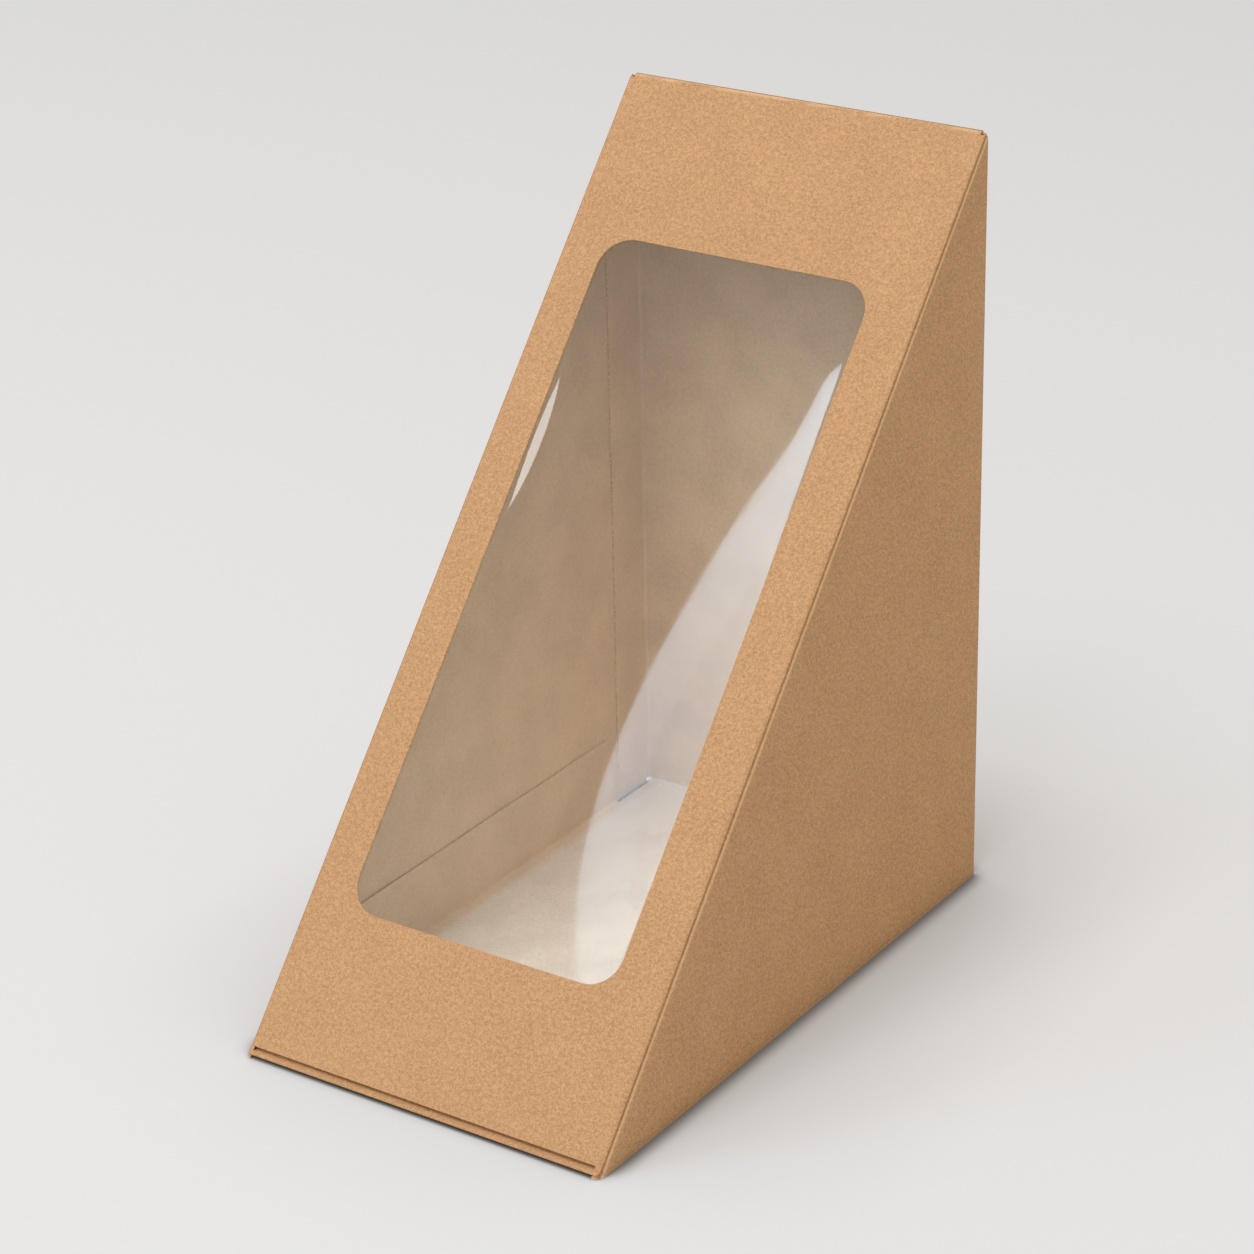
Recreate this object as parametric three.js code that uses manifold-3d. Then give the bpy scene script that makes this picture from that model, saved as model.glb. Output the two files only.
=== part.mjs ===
// Sandwich wedge pack: one folded sheet of kraft board with a film window and a tuck-in lid at its foot.
// Millimetres, +Z up. The origin is the middle of the foot, on the ground.
// The sloping window panel faces -Y and the upright back wall faces +Y.
import * as THREE from 'three';
import { ConvexGeometry } from 'three/addons/geometries/ConvexGeometry.js';
import { mergeVertices } from 'three/addons/utils/BufferGeometryUtils.js';
import Module from 'manifold-3d';

const wasm = await Module();
wasm.setup();

// Outside of the closed pack
const WIDTH = 73;
const DEPTH = 123;
const HEIGHT = 141.9;

// Board, its folds and the gap between pieces that move or lie on each other
const BOARD = 0.36;
const FOLD_RADIUS = 0.9;
const APEX_RADIUS = 0.5;
const FOLD_FACETS = 6;
const CLEARANCE = 0.3;

// Window hole: margins from the side walls, the foot and the sharp apex, along the panel
const WINDOW_LEFT = 8.3;
const WINDOW_RIGHT = 10.2;
const WINDOW_FOOT = 29.4;
const WINDOW_TOP = 31.9;
const WINDOW_CORNER = 6;

// Clear film behind the hole
const FILM = 0.12;
const FILM_OVERLAP = 5;
const FILM_CORNER = 3;

// Cut edges of the board
const FRONT_LIFT = 1.06;
const SIDE_EDGE_SETBACK = 0.8;
const APEX_NOTCH = 1.3;
const GLUE_FLAP = 10.4;
const GLUE_FLAP_TAPER = 6;

// Lid at the foot
const NOSE_RADIUS = 0.38;
const NOSE_SETBACK = 0.15;
const TUCK_FLAP = 16;
const TUCK_CORNER = 5;
const SIDE_FLAP = 14.5;
const SIDE_FLAP_REAR = 11.5;
const SIDE_FLAP_TAPER = 3;

// Amounts by which a cutting or extended shape runs past what it cuts
const PAST = 10;
const HAIR = 0.01;

const HALF_WIDTH = WIDTH / 2;
const FRONT_Y = -DEPTH / 2;
const BACK_Y = DEPTH / 2;

// Slope of the window panel: it starts at the front foot line and rounds over to the back wall
// with its highest point at HEIGHT.
const APEX_RUN = DEPTH - APEX_RADIUS;
const APEX_RISE = HEIGHT - APEX_RADIUS;
const SLOPE = Math.atan2(APEX_RISE, APEX_RUN) + Math.asin(APEX_RADIUS / Math.hypot(APEX_RUN, APEX_RISE));
const SIN = Math.sin(SLOPE);
const COS = Math.cos(SLOPE);
const PANEL_LENGTH = DEPTH / COS;
const FRONT_NORMAL = new THREE.Vector3(0, -SIN, COS);
const BACK_NORMAL = new THREE.Vector3(0, 1, 0);

// Panel frame: x across, y up the slope from the front foot line, z out of the panel
const PANEL_FRAME = new THREE.Matrix4().makeBasis(
  new THREE.Vector3(1, 0, 0),
  new THREE.Vector3(0, COS, SIN),
  FRONT_NORMAL,
);
PANEL_FRAME.setPosition(0, FRONT_Y, 0);

// Frames for outlines drawn across the pack (x = pack y, y = pack z, run along pack x)
// and along it (x = pack x, y = pack z, run along pack -y)
const ACROSS_FRAME = new THREE.Matrix4().makeBasis(
  new THREE.Vector3(0, 1, 0),
  new THREE.Vector3(0, 0, 1),
  new THREE.Vector3(1, 0, 0),
);
const ALONG_FRAME = new THREE.Matrix4().makeBasis(
  new THREE.Vector3(1, 0, 0),
  new THREE.Vector3(0, 0, 1),
  new THREE.Vector3(0, -1, 0),
);

// Turns a closed geometry into a solid that can be cut and joined
function solid(geometry) {
  const bare = geometry.index ? geometry.toNonIndexed() : geometry.clone();
  bare.deleteAttribute('normal');
  bare.deleteAttribute('uv');
  const merged = mergeVertices(bare, 1e-5);
  const mesh = new wasm.Mesh({
    numProp: 3,
    vertProperties: new Float32Array(merged.attributes.position.array),
    triVerts: new Uint32Array(merged.index.array),
  });
  return new wasm.Manifold(mesh);
}

function mesh(body, name, material) {
  const data = body.getMesh();
  const geometry = new THREE.BufferGeometry();
  geometry.setAttribute('position', new THREE.BufferAttribute(data.vertProperties, 3));
  geometry.setIndex(new THREE.BufferAttribute(data.triVerts, 1));
  geometry.computeVertexNormals();
  const piece = new THREE.Mesh(geometry, material);
  piece.name = name;
  return piece;
}

// Block between two corners
function block(x0, x1, y0, y1, z0, z1) {
  const geometry = new THREE.BoxGeometry(x1 - x0, y1 - y0, z1 - z0);
  geometry.translate((x0 + x1) / 2, (y0 + y1) / 2, (z0 + z1) / 2);
  return solid(geometry);
}

// Outline run between two stations of the frame it is drawn in
function run(shape, frame, from, to) {
  const geometry = new THREE.ExtrudeGeometry(shape, {
    depth: to - from,
    bevelEnabled: false,
    curveSegments: FOLD_FACETS,
  });
  geometry.translate(0, 0, from);
  geometry.applyMatrix4(frame);
  return solid(geometry);
}

function polygon(points) {
  const shape = new THREE.Shape();
  points.forEach(([x, y], i) => (i ? shape.lineTo(x, y) : shape.moveTo(x, y)));
  shape.closePath();
  return shape;
}

// Rectangle with round corners, from its low and high corners
function roundedRectangle(x0, y0, x1, y1, r) {
  const shape = new THREE.Shape();
  shape.moveTo(x0 + r, y0);
  shape.lineTo(x1 - r, y0);
  shape.absarc(x1 - r, y0 + r, r, -Math.PI / 2, 0, false);
  shape.lineTo(x1, y1 - r);
  shape.absarc(x1 - r, y1 - r, r, 0, Math.PI / 2, false);
  shape.lineTo(x0 + r, y1);
  shape.absarc(x0 + r, y1 - r, r, Math.PI / 2, Math.PI, false);
  shape.lineTo(x0, y0 + r);
  shape.absarc(x0 + r, y0 + r, r, Math.PI, 1.5 * Math.PI, false);
  return shape;
}

// Pack y of the plane that lies a depth inside the window panel's outer face, at a height
function slopeY(depth, z) {
  return FRONT_Y + (depth + COS * z) / SIN;
}

// Everything in front of the plane that lies a depth inside the window panel's outer face
function inFrontOf(depth) {
  const low = -PAST;
  const high = HEIGHT + PAST;
  const outline = polygon([
    [slopeY(depth, low), low],
    [slopeY(depth, high), high],
    [slopeY(depth, low) - DEPTH, high],
    [slopeY(depth, low) - DEPTH, low],
  ]);
  return run(outline, ACROSS_FRAME, -WIDTH, WIDTH);
}

// Solid wedge that runs on below the ground, with round folds. It is inset by a depth
// from the pack's outer faces, and by a further amount at the sides.
function wedge(depth, sideInset) {
  const side = Math.max(FOLD_RADIUS - depth, HAIR);
  const apex = Math.max(APEX_RADIUS - depth, HAIR);
  const points = [];
  const apexY = BACK_Y - depth - apex;
  const apexZ = HEIGHT - APEX_RADIUS + ((APEX_RADIUS - depth - apex) * (1 - SIN)) / COS;
  const bottom = -PAST;
  const fold = (x, y, z, towards, radius, sign) => {
    for (let i = 0; i <= FOLD_FACETS; i += 1) {
      const turn = (i / FOLD_FACETS) * (Math.PI / 2);
      points.push(
        new THREE.Vector3(x, y, z)
          .addScaledVector(new THREE.Vector3(sign, 0, 0), radius * Math.cos(turn))
          .addScaledVector(towards, radius * Math.sin(turn)),
      );
    }
  };
  for (const sign of [-1, 1]) {
    const x = sign * (HALF_WIDTH - sideInset - depth - side);
    fold(x, slopeY(depth + side, bottom), bottom, FRONT_NORMAL, side, sign);
    fold(x, BACK_Y - depth - side, bottom, BACK_NORMAL, side, sign);
    const apexX = sign * (HALF_WIDTH - sideInset - depth - apex);
    for (let i = 0; i <= 2 * FOLD_FACETS; i += 1) {
      const share = i / (2 * FOLD_FACETS);
      const angle = (Math.PI / 2 + SLOPE) * (1 - share);
      const towards = new THREE.Vector3(0, Math.cos(angle), Math.sin(angle));
      fold(apexX, apexY, apexZ, towards, apex, sign);
    }
  }
  return solid(new ConvexGeometry(points));
}

// Folded sheet: a wedge's skin, one board thick, open at the foot
function skin(sideInset) {
  return wedge(0, sideInset).subtract(wedge(BOARD, sideInset));
}

// Window panel, side walls, back wall and glue flaps, folded from one sheet
function cardBody() {
  const wallTop = HEIGHT + PAST;
  const flapX = HALF_WIDTH - APEX_NOTCH;
  const edgeY = BACK_Y - SIDE_EDGE_SETBACK;
  const ground = block(-WIDTH, WIDTH, -DEPTH, DEPTH, -2 * PAST, 0);

  let shell = skin(0).subtract(ground);
  for (const sign of [-1, 1]) {
    const inner = sign * flapX;
    const outer = sign * (HALF_WIDTH + PAST);
    const corner = block(Math.min(inner, outer), Math.max(inner, outer), edgeY, BACK_Y + PAST, -PAST, wallTop);
    shell = shell.subtract(corner);
  }
  const backFoot = block(-WIDTH, WIDTH, BACK_Y - FOLD_RADIUS, BACK_Y + PAST, -PAST, FOLD_RADIUS);
  const backCore = block(-flapX, flapX, BACK_Y - 2 * FOLD_RADIUS, BACK_Y + PAST, -PAST, FOLD_RADIUS);
  shell = shell.subtract(backCore);

  // Back wall with its glue flaps, which lie inside the side walls and stop above the lid
  const flapFoot = BOARD + CLEARANCE;
  const flapY = BACK_Y - GLUE_FLAP;
  const flapZone = polygon([
    [flapY, flapFoot + GLUE_FLAP_TAPER],
    [BACK_Y - FOLD_RADIUS, flapFoot],
    [BACK_Y + PAST, flapFoot],
    [BACK_Y + PAST, wallTop],
    [flapY, wallTop],
  ]);
  const back = skin(BOARD - HAIR)
    .intersect(run(flapZone, ACROSS_FRAME, -WIDTH, WIDTH))
    .subtract(inFrontOf(BOARD + CLEARANCE))
    .subtract(backFoot);

  // Rolled crease between the back wall and the lid
  const creaseHalf = HALF_WIDTH - BOARD - FOLD_RADIUS;
  const crease = new THREE.Shape();
  const creaseY = BACK_Y - FOLD_RADIUS;
  crease.moveTo(creaseY, 0);
  crease.absarc(creaseY, FOLD_RADIUS, FOLD_RADIUS, -Math.PI / 2, 0, false);
  crease.lineTo(BACK_Y, FOLD_RADIUS + BOARD);
  crease.lineTo(BACK_Y - BOARD, FOLD_RADIUS + BOARD);
  crease.lineTo(BACK_Y - BOARD, FOLD_RADIUS);
  crease.absarc(creaseY, FOLD_RADIUS, FOLD_RADIUS - BOARD, 0, -Math.PI / 2, true);

  const hole = roundedRectangle(
    -HALF_WIDTH + WINDOW_LEFT,
    WINDOW_FOOT,
    HALF_WIDTH - WINDOW_RIGHT,
    PANEL_LENGTH - WINDOW_TOP,
    WINDOW_CORNER,
  );
  const slitHalf = HALF_WIDTH - FOLD_RADIUS;
  const slit = block(-slitHalf, slitHalf, FRONT_Y - PAST, FRONT_Y + PAST, -PAST, FRONT_LIFT);

  return shell
    .add(back)
    .add(run(crease, ACROSS_FRAME, -creaseHalf, creaseHalf))
    .subtract(run(hole, PANEL_FRAME, -PAST, PAST))
    .subtract(slit);
}

// Lid: foot panel, tuck flap behind the window panel and a flap inside each side wall
function baseLid() {
  const lidHalf = HALF_WIDTH - BOARD - CLEARANCE;
  const flatHalf = lidHalf - FOLD_RADIUS;
  const rearY = BACK_Y - FOLD_RADIUS - CLEARANCE;
  const noseY = FRONT_Y + NOSE_SETBACK + NOSE_RADIUS;
  const tuckFace = BOARD + CLEARANCE;
  const hemTop = 2 * NOSE_RADIUS;
  const tuckTop = TUCK_FLAP * SIN;

  const outline = new THREE.Shape();
  outline.moveTo(rearY, 0);
  outline.lineTo(rearY, BOARD);
  outline.lineTo(slopeY(tuckFace + BOARD, BOARD), BOARD);
  outline.lineTo(slopeY(tuckFace + BOARD, tuckTop), tuckTop);
  outline.lineTo(slopeY(tuckFace, tuckTop), tuckTop);
  outline.lineTo(slopeY(tuckFace, hemTop), hemTop);
  outline.lineTo(noseY, hemTop);
  outline.absarc(noseY, NOSE_RADIUS, NOSE_RADIUS, Math.PI / 2, 1.5 * Math.PI, false);
  let lid = run(outline, ACROSS_FRAME, -flatHalf, flatHalf);

  // Rear strip of the foot panel, which is as wide as the inside of the pack
  const rearStripY = BACK_Y - SIDE_FLAP_REAR;
  lid = lid.add(block(-lidHalf, lidHalf, rearStripY, rearY, 0, BOARD));

  // Side flaps, cut along the slope in front and slanted at the rear
  const flapFront = 2 * BOARD + 2 * CLEARANCE;
  const flapZone = polygon([
    [slopeY(flapFront, 0), 0],
    [rearStripY, 0],
    [rearStripY - SIDE_FLAP_TAPER, SIDE_FLAP],
    [slopeY(flapFront, SIDE_FLAP), SIDE_FLAP],
  ]);
  for (const sign of [-1, 1]) {
    const section = new THREE.Shape();
    const start = sign > 0 ? -Math.PI / 2 : 1.5 * Math.PI;
    const end = sign > 0 ? 0 : Math.PI;
    section.moveTo(sign * (flatHalf - BOARD), 0);
    section.lineTo(sign * flatHalf, 0);
    section.absarc(sign * flatHalf, FOLD_RADIUS, FOLD_RADIUS, start, end, sign < 0);
    section.lineTo(sign * lidHalf, SIDE_FLAP);
    section.lineTo(sign * (lidHalf - BOARD), SIDE_FLAP);
    section.lineTo(sign * (lidHalf - BOARD), FOLD_RADIUS);
    section.absarc(sign * flatHalf, FOLD_RADIUS, FOLD_RADIUS - BOARD, end, start, sign > 0);
    section.lineTo(sign * (flatHalf - BOARD), BOARD);
    const strip = run(section, ALONG_FRAME, -DEPTH, DEPTH);
    lid = lid.add(strip.intersect(run(flapZone, ACROSS_FRAME, -WIDTH, WIDTH)));
  }

  // Corners of the tuck flap are cut away so that it enters the slit easily
  for (const sign of [-1, 1]) {
    const corner = polygon([
      [sign * flatHalf, TUCK_FLAP - TUCK_CORNER],
      [sign * (flatHalf + TUCK_CORNER), TUCK_FLAP + TUCK_CORNER],
      [sign * (flatHalf - TUCK_CORNER), TUCK_FLAP + TUCK_CORNER],
      [sign * (flatHalf - TUCK_CORNER), TUCK_FLAP],
    ]);
    lid = lid.subtract(run(corner, PANEL_FRAME, -(2 * BOARD + CLEARANCE + HAIR), PAST));
  }
  return lid;
}

// Clear sheet behind the window hole
function windowFilm() {
  const sheet = roundedRectangle(
    -HALF_WIDTH + WINDOW_LEFT - FILM_OVERLAP,
    WINDOW_FOOT - FILM_OVERLAP,
    HALF_WIDTH - WINDOW_RIGHT + FILM_OVERLAP,
    PANEL_LENGTH - WINDOW_TOP + FILM_OVERLAP,
    FILM_CORNER,
  );
  const face = -(BOARD + CLEARANCE);
  return run(sheet, PANEL_FRAME, face - FILM, face);
}

const kraftBoard = new THREE.MeshStandardMaterial({ color: 0xc99d74, roughness: 0.85, metalness: 0 });
const coatedBoard = new THREE.MeshStandardMaterial({ color: 0xbf946b, roughness: 0.7, metalness: 0 });
const clearFilm = new THREE.MeshStandardMaterial({
  color: 0xf2f4f4,
  roughness: 0.08,
  metalness: 0,
  transparent: true,
  opacity: 0.35,
});

const pack = new THREE.Group();
pack.add(mesh(cardBody(), 'card_body', kraftBoard));
pack.add(mesh(baseLid(), 'base_lid', coatedBoard));
pack.add(mesh(windowFilm(), 'window_film', clearFilm));

export default pack;
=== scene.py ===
import math

import bmesh
import bpy
from mathutils import Matrix, Vector, noise
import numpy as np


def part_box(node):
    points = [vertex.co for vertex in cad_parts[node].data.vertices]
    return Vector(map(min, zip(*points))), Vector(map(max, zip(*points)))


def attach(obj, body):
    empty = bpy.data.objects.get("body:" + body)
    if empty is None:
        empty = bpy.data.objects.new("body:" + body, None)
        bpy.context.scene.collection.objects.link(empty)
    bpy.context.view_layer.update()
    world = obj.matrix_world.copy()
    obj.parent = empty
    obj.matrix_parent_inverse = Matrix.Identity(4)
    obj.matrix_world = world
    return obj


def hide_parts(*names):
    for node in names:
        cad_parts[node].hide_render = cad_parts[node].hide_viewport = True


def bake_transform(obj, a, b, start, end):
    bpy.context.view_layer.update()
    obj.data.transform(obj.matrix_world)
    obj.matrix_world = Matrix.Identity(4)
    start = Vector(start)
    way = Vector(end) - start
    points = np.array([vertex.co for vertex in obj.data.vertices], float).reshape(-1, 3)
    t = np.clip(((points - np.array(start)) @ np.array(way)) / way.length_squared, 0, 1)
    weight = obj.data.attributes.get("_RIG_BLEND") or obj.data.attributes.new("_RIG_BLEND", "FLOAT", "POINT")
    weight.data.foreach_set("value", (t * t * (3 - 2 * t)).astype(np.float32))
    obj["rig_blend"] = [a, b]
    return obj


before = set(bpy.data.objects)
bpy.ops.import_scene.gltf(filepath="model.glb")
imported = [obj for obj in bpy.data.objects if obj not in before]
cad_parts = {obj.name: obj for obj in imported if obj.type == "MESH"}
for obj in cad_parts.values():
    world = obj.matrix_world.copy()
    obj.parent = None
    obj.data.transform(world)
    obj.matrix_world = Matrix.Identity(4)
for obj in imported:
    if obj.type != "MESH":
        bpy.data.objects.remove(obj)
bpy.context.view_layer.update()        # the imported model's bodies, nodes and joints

# A wedge-shaped sandwich pack: a die-cut blank of kraft board, scored, folded and glued, with a
# clear film behind its window hole and a lid at its foot. Lengths are in metres.
MM = 0.001

# Outside of the closed pack, from the frame
BODY_LOW, BODY_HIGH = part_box("card_body")
HALF_WIDTH = (BODY_HIGH.x - BODY_LOW.x) / 2
FRONT_Y = BODY_LOW.y
BACK_Y = BODY_HIGH.y
DEPTH = BACK_Y - FRONT_Y
HEIGHT = BODY_HIGH.z

# Board and its folds
BOARD = 0.3 * MM
FOLD_RADIUS = 0.9 * MM
LOOSE_FOLD_RADIUS = 1.7 * MM
APEX_RADIUS = 0.5 * MM
CLEARANCE = 0.3 * MM
LAYER_GAP = 0.02 * MM

# Window hole and film
WINDOW_LEFT = 8.3 * MM
WINDOW_RIGHT = 10.2 * MM
WINDOW_FOOT = 29.4 * MM
WINDOW_TOP = 31.9 * MM
WINDOW_CORNER = 6 * MM
CORNER_CUTS = 12
FILM = 0.06 * MM
FILM_OVERLAP = 5 * MM
FILM_SAG = 0.82 * MM
FILM_BELLY = 0.87 * MM
BELLY_AT = 0.335
BELLY_SPREAD = 0.255
FILM_SWELL = 7 * MM
SWELL_AT = 0.7
SWELL_SPREAD = 0.14
SWELL_REACH = 0.12

# Cut edges
FRONT_LIFT = 1.65 * MM
SIDE_EDGE_SETBACK = 0.8 * MM
APEX_NOTCH = 1.3 * MM
GLUE_FLAP = 10.4 * MM
GLUE_FLAP_TAPER = 6 * MM

# Lid
NOSE_RADIUS = 0.25 * MM
NOSE_SETBACK = 0.3 * MM
LIP_LIFT = 0.4 * MM
LIP_RUN = 25 * MM
HEM_FILLET = 0.5 * MM
TUCK_FLAP = 16 * MM
TUCK_CORNER = 5 * MM
SIDE_FLAP = 14.5 * MM
SIDE_FLAP_REAR = 11.5 * MM
SIDE_FLAP_TAPER = 3 * MM

# Mesh steps
CELL = 4 * MM
FINE = 0.12 * MM
WELD = 0.002 * MM

# Relief of the board
WAVE = 0.16 * MM
WAVE_LENGTH = 46 * MM
WAVE_FADE = 14 * MM
GROOVE = 0.10 * MM
GROOVE_WIDTH = 0.16 * MM
BEAD = 0.07 * MM
BEAD_WIDTH = 0.16 * MM
BEAD_OFFSET = 0.42 * MM
# Height of the painted highlight along the side walls' lower edge
FOOT_HIGHLIGHT = 0.16 * MM
PINHOLE = 0.55 * MM

# Slope of the window panel, which starts at the front foot line and rounds over at the apex
APEX_RUN = DEPTH - APEX_RADIUS
APEX_RISE = HEIGHT - APEX_RADIUS
SLOPE = math.atan2(APEX_RISE, APEX_RUN) + math.asin(APEX_RADIUS / math.hypot(APEX_RUN, APEX_RISE))
SIN = math.sin(SLOPE)
COS = math.cos(SLOPE)
PANEL_LENGTH = DEPTH / COS
FOOT_LINE = Vector((0, FRONT_Y, 0))
UP_SLOPE = Vector((0, COS, SIN))
OUT_OF_PANEL = Vector((0, -SIN, COS))
APEX_START = APEX_RUN * COS + APEX_RISE * SIN
APEX_TURN = math.pi / 2 + SLOPE
APEX_ARC = APEX_RADIUS * APEX_TURN
QUARTER = math.pi / 2

# Share of the floor's paleness that doesn't come from the lights
FLOOR_GLOW = 0.45
# Reaches of the painted contact shadow that darkens the floor around the pack
CONTACT_SHADE = 45 * MM
FOOT_SHADE = 4.5 * MM

X_AXIS = Vector((1, 0, 0))
Y_AXIS = Vector((0, 1, 0))
Z_AXIS = Vector((0, 0, 1))


def smooth(value, low, high):
    """Smooth step from 0 at low to 1 at high."""
    share = min(max((value - low) / (high - low), 0), 1)
    return share * share * (3 - 2 * share)


def bump(distance, width):
    """Round bump of height 1, centred on 0."""
    return math.exp(-((distance / width) ** 2))


def even_lines(low, high, step):
    """Lines from low to high, about a step apart."""
    count = max(1, round((high - low) / step))
    return [low + (high - low) * i / count for i in range(count + 1)]


def merged_lines(*groups):
    """All the lines in order, without any that lie within a hair of the one before."""
    kept = []
    for line in sorted(sum(groups, [])):
        if not kept or line - kept[-1] > FINE / 3:
            kept.append(line)
    return kept


def cut(bm, point, normal, chosen=None):
    """Cuts the chosen faces of a sheet along a plane, and takes nothing away."""
    faces = [f for f in bm.faces if chosen is None or chosen(f.calc_center_median())]
    edges = {e for f in faces for e in f.edges}
    verts = {v for f in faces for v in f.verts}
    geom = faces + list(edges) + list(verts)
    bmesh.ops.bisect_plane(bm, geom=geom, dist=1e-7, plane_co=point, plane_no=normal)


def take_away(bm, unwanted):
    """Deletes the faces whose middle is unwanted."""
    faces = [f for f in bm.faces if unwanted(f.calc_center_median())]
    bmesh.ops.delete(bm, geom=faces, context="FACES")


def flat_sheet(x_lines, s_lines):
    """Flat sheet in the XY plane, cut along all the given lines."""
    bm = bmesh.new()
    low = Vector((x_lines[0], s_lines[0], 0))
    high = Vector((x_lines[-1], s_lines[-1], 0))
    half = (high - low) / 2
    bmesh.ops.create_grid(bm, x_segments=1, y_segments=1, size=1)
    bmesh.ops.scale(bm, vec=(half.x, half.y, 1), verts=bm.verts)
    bmesh.ops.translate(bm, vec=(low + high) / 2, verts=bm.verts)
    for x in x_lines[1:-1]:
        cut(bm, (x, 0, 0), X_AXIS)
    for s in s_lines[1:-1]:
        cut(bm, (0, s, 0), Y_AXIS)
    return bm


def keep_blank_map(bm, shift=(0, 0)):
    """Stores where each point lies on the flat blank, in metres, for the board's grain."""
    layer = bm.loops.layers.uv.new("blank")
    for face in bm.faces:
        for loop in face.loops:
            loop[layer].uv = (loop.vert.co.x + shift[0], loop.vert.co.y + shift[1])


def mark_creases(bm, from_middle):
    """Stores the painted shade of a scored line's groove (below 0) and the painted highlight of its bead (above 0).
    """
    layer = bm.verts.layers.float.new("crease")
    for vert in bm.verts:
        distance = from_middle(vert.co.x, vert.co.y)
        # pale is the painted highlight on the bead; the groove's bump taken from it is painted shade
        pale = bump(distance - BEAD_OFFSET, BEAD_WIDTH)
        vert[layer] = pale - bump(distance, GROOVE_WIDTH)


def paint_foot_highlight(bm):
    """Paints a highlight along the lower edge of the side walls."""
    for z in (FOOT_HIGHLIGHT, 2 * FOOT_HIGHLIGHT):
        cut(bm, (0, 0, z), Z_AXIS, lambda c: c.z < CELL)
    layer = bm.verts.layers.float["crease"]
    for vert in bm.verts:
        if vert.co.z < FOOT_HIGHLIGHT * 1.5:
            vert[layer] += 1 - vert.co.z / FOOT_HIGHLIGHT / 2


def fold_up(bm, place):
    """Moves each point of a flat sheet to its folded place."""
    for vert in bm.verts:
        vert.co = place(vert.co.x, vert.co.y)


def behind_slope(depth):
    """Point and normal of the plane that lies a depth inside the window panel's face."""
    return FOOT_LINE - OUT_OF_PANEL * depth, OUT_OF_PANEL


def slope_y(depth, z):
    """Pack y of that plane at a height."""
    return FRONT_Y + (depth + COS * z) / SIN


def finish_board(bm, name, materials, thickness=BOARD):
    """Gives a folded sheet its thickness and crisp cut edges, and makes it an object."""
    mesh = bpy.data.meshes.new(name)
    for face in bm.faces:
        face.smooth = True
    bm.to_mesh(mesh)
    bm.free()
    piece = bpy.data.objects.new(name, mesh)
    bpy.context.scene.collection.objects.link(piece)
    for material in materials:
        mesh.materials.append(material)
    skin = piece.modifiers.new("board", "SOLIDIFY")
    skin.thickness = thickness
    skin.offset = -1
    skin.use_even_offset = True
    skin.use_rim = True
    if len(materials) > 1:
        skin.material_offset = 1
        skin.material_offset_rim = 2
    graph = bpy.context.evaluated_depsgraph_get()
    solid = bpy.data.meshes.new_from_object(piece.evaluated_get(graph))
    piece.modifiers.clear()
    piece.data = solid
    solid.name = name
    for vert in solid.vertices:
        if vert.co.z < 0:
            vert.co = vert.co - UP_SLOPE * (vert.co.z / SIN)
    solid.set_sharp_from_angle(angle=math.radians(40))
    return piece


# Folded places of the board

def panel_wave(x, s, seed):
    """Slight hollow of a panel between its creases, in metres, always inwards."""
    sample = Vector((x / WAVE_LENGTH, s / WAVE_LENGTH, seed))
    return -WAVE * max(0.5 + noise.noise(sample), 0)


def ridge_radius(side, s):
    """The fold beside the window is pressed tight at the apex and opens towards its free end."""
    if side < 0:
        return FOLD_RADIUS
    share = smooth(s, 0, PANEL_LENGTH)
    return LOOSE_FOLD_RADIUS + (FOLD_RADIUS - LOOSE_FOLD_RADIUS) * share


def ridge_relief(distance):
    """Scored line at the middle of a fold, with the board's pushed-up bead beside it."""
    return BEAD * bump(distance - BEAD_OFFSET, BEAD_WIDTH) - GROOVE * bump(distance, GROOVE_WIDTH)


def from_ridge(x, s):
    """Distance past the middle of the fold between the window panel and a side wall."""
    radius = ridge_radius(math.copysign(1, x), s)
    return abs(x) - (HALF_WIDTH - radius) - radius * QUARTER / 2


def from_back_fold(x, v):
    """Distance past the middle of the nearest fold of the back wall."""
    flap = abs(x) - FLAP_START - FOLD_RADIUS * QUARTER / 2
    apex = APEX_ARC / 3 - v
    return flap if abs(flap) < abs(apex) else apex


def place_panel(x, s):
    """Folded place of a point of the window panel or a side wall."""
    side = math.copysign(1, x)
    radius = ridge_radius(side, s)
    past = abs(x) - (HALF_WIDTH - radius)
    arc = radius * QUARTER
    foot = FOOT_LINE + UP_SLOPE * s
    relief = ridge_relief(past - arc / 2)
    if past <= 0:
        fade = smooth(-past, 0, WAVE_FADE) * smooth(s, 0, WAVE_FADE)
        fade *= smooth(APEX_START - s, 0, WAVE_FADE)
        relief += fade * panel_wave(x, s, 1.0)
        return foot + X_AXIS * x + OUT_OF_PANEL * relief
    if past < arc:
        turn = past / radius
        out = X_AXIS * side * math.sin(turn) + OUT_OF_PANEL * math.cos(turn)
        centre = foot + X_AXIS * side * (HALF_WIDTH - radius) - OUT_OF_PANEL * radius
        return centre + out * (radius + min(relief, 0) + max(relief, 0) * math.sin(turn) ** 2 * 0.6)
    depth = radius + past - arc
    place = foot + X_AXIS * side * HALF_WIDTH - OUT_OF_PANEL * depth
    fade = smooth(depth, 0, WAVE_FADE) * smooth(place.z - SIDE_FLAP, 0, WAVE_FADE)
    fade *= smooth(BACK_Y - place.y - GLUE_FLAP, 0, WAVE_FADE)
    return place + X_AXIS * side * fade * panel_wave(depth, s, 3.0 + side)


FLAP_START = HALF_WIDTH - BOARD - LAYER_GAP - FOLD_RADIUS


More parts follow.
